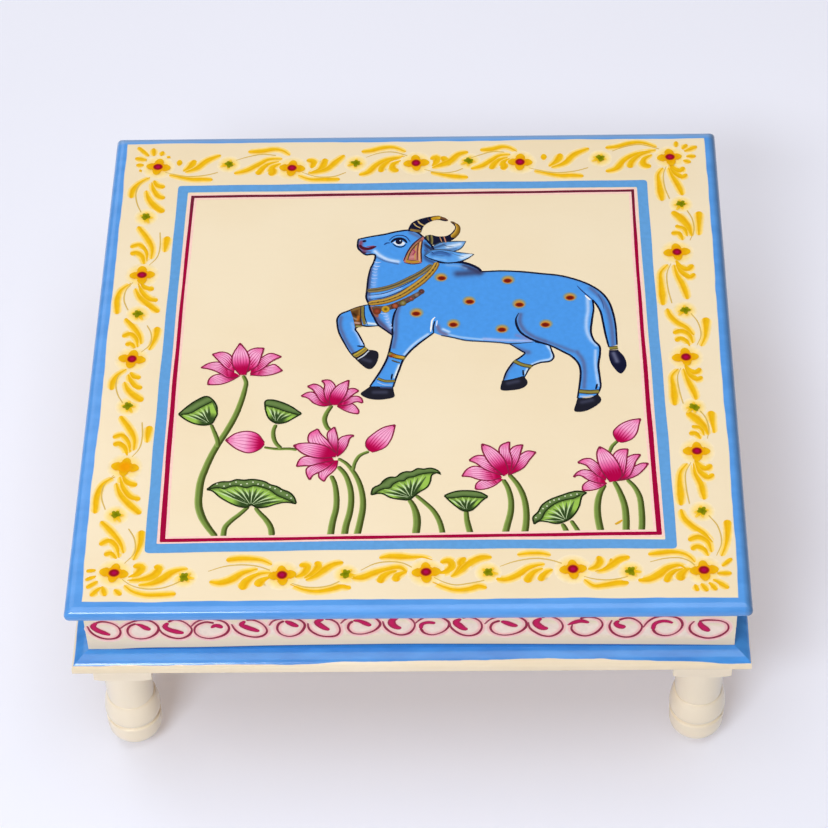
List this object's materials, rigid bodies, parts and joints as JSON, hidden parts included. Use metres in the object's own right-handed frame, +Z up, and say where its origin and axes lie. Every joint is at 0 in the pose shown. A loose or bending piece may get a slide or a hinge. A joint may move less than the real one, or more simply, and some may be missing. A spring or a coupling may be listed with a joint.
{
  "type": "bajot low table",
  "caption": "Square hand-painted wooden low table: thin round-edged top over a shallow mitred box, moulded base frame and short turned legs.",
  "frame": {"origin": "on the floor, under the middle of the table", "axes": "+Z up, front side towards -Y, +X to the right of someone facing the front"},
  "size_m": [0.308, 0.308, 0.119],
  "materials": {
    "cream_paint": "cream enamel paint on wood under a glossy varnish, with painted ornament",
    "blue_paint": "bright blue enamel paint on wood, brushy, under a glossy varnish",
    "raw_wood": "planed, unpainted light hardwood",
    "steel": "plain steel wire and screws"
  },
  "bodies": {
    "root": {"top_board": "cream_paint", "apron_front": "cream_paint", "apron_right": "cream_paint", "apron_back": "cream_paint", "apron_left": "cream_paint", "base_rail_front": "blue_paint", "base_rail_right": "blue_paint", "base_rail_back": "blue_paint", "base_rail_left": "blue_paint", "leg_front_right": "cream_paint", "leg_back_right": "cream_paint", "leg_back_left": "cream_paint", "leg_front_left": "cream_paint", "corner_block_front_right": "raw_wood", "corner_block_back_right": "raw_wood", "corner_block_back_left": "raw_wood", "corner_block_front_left": "raw_wood", "leg_screw_front_right": "steel", "leg_screw_back_right": "steel", "leg_screw_back_left": "steel", "leg_screw_front_left": "steel", "top_pin_front_1": "steel", "top_pin_front_2": "steel", "top_pin_right_1": "steel", "top_pin_right_2": "steel", "top_pin_back_1": "steel", "top_pin_back_2": "steel", "top_pin_left_1": "steel", "top_pin_left_2": "steel", "rail_pin_front_1": "steel", "rail_pin_front_2": "steel", "rail_pin_right_1": "steel", "rail_pin_right_2": "steel", "rail_pin_back_1": "steel", "rail_pin_back_2": "steel", "rail_pin_left_1": "steel", "rail_pin_left_2": "steel"}
  },
  "joints": []
}
